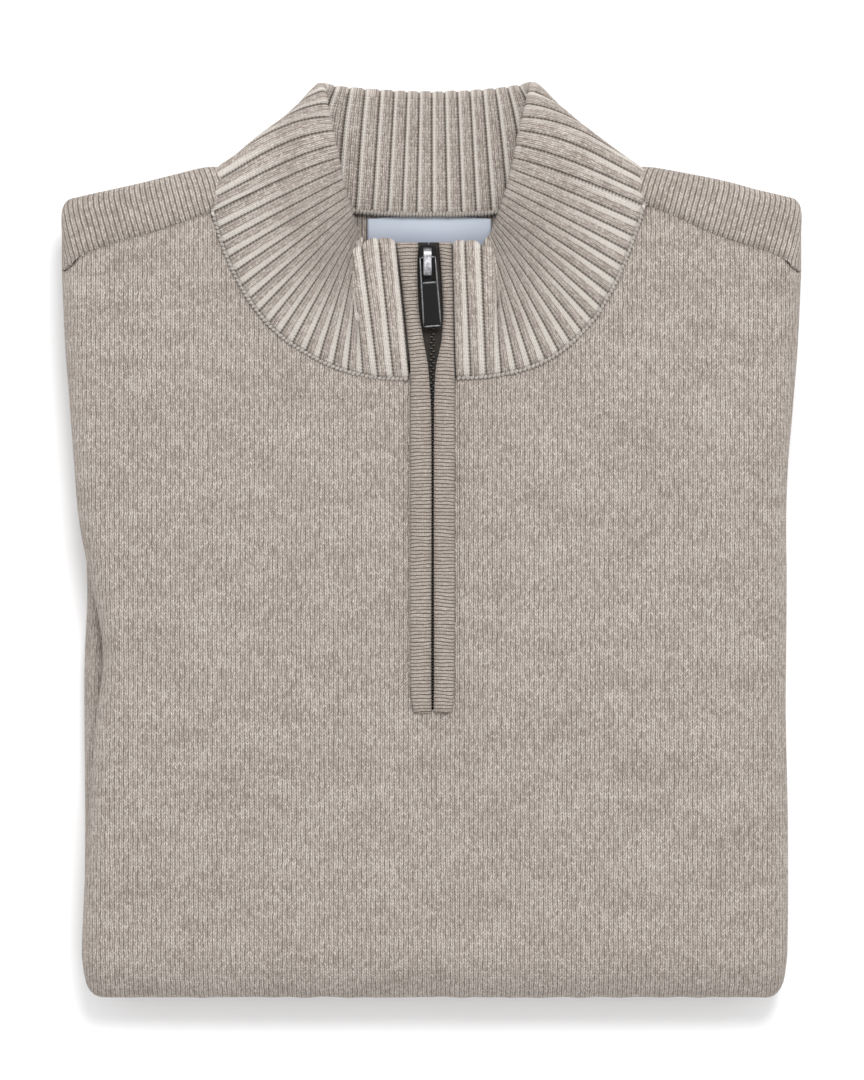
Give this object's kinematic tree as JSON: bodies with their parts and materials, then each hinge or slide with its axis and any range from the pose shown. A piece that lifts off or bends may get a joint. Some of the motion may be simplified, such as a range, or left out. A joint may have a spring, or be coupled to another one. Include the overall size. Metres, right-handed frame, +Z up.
{
  "type": "folded quarter zip sweater",
  "caption": "Knitted sweater with a ribbed stand collar and a short zip, folded flat and lying face up.",
  "frame": {"origin": "on the table, under the middle of the folded sweater's outline", "axes": "+Z up out of the table, +Y towards the collar, +X to the right of the picture"},
  "size_m": [0.334, 0.4146, 0.052],
  "materials": {
    "jersey": "heathered taupe jersey knit, matt, with a light bloom of fibres",
    "rib": "ribbed knit in the same taupe with off-white stripes",
    "tape": "dark woven zip tape, matt",
    "zip_metal": "black lacquered metal with worn grey edges",
    "satin": "pale blue-grey satin, bare"
  },
  "bodies": {
    "garment": {"front": "jersey", "back": "jersey", "hem": "rib", "folded_layers": "jersey", "collar": "rib", "placket_left": "jersey", "placket_right": "jersey", "zip_tape_left": "tape", "zip_tape_right": "tape", "slider": "zip_metal", "label": "satin"},
    "pull_tab": {"pull_tab": "zip_metal"}
  },
  "joints": [
    {"name": "tab_swing", "type": "hinge", "parent": "garment", "child": "pull_tab", "pos_m": [-0.0018, 0.127, 0.0496], "axis": [-0.9976, -0.0698, 0], "range_deg": [0, 150]}
  ]
}
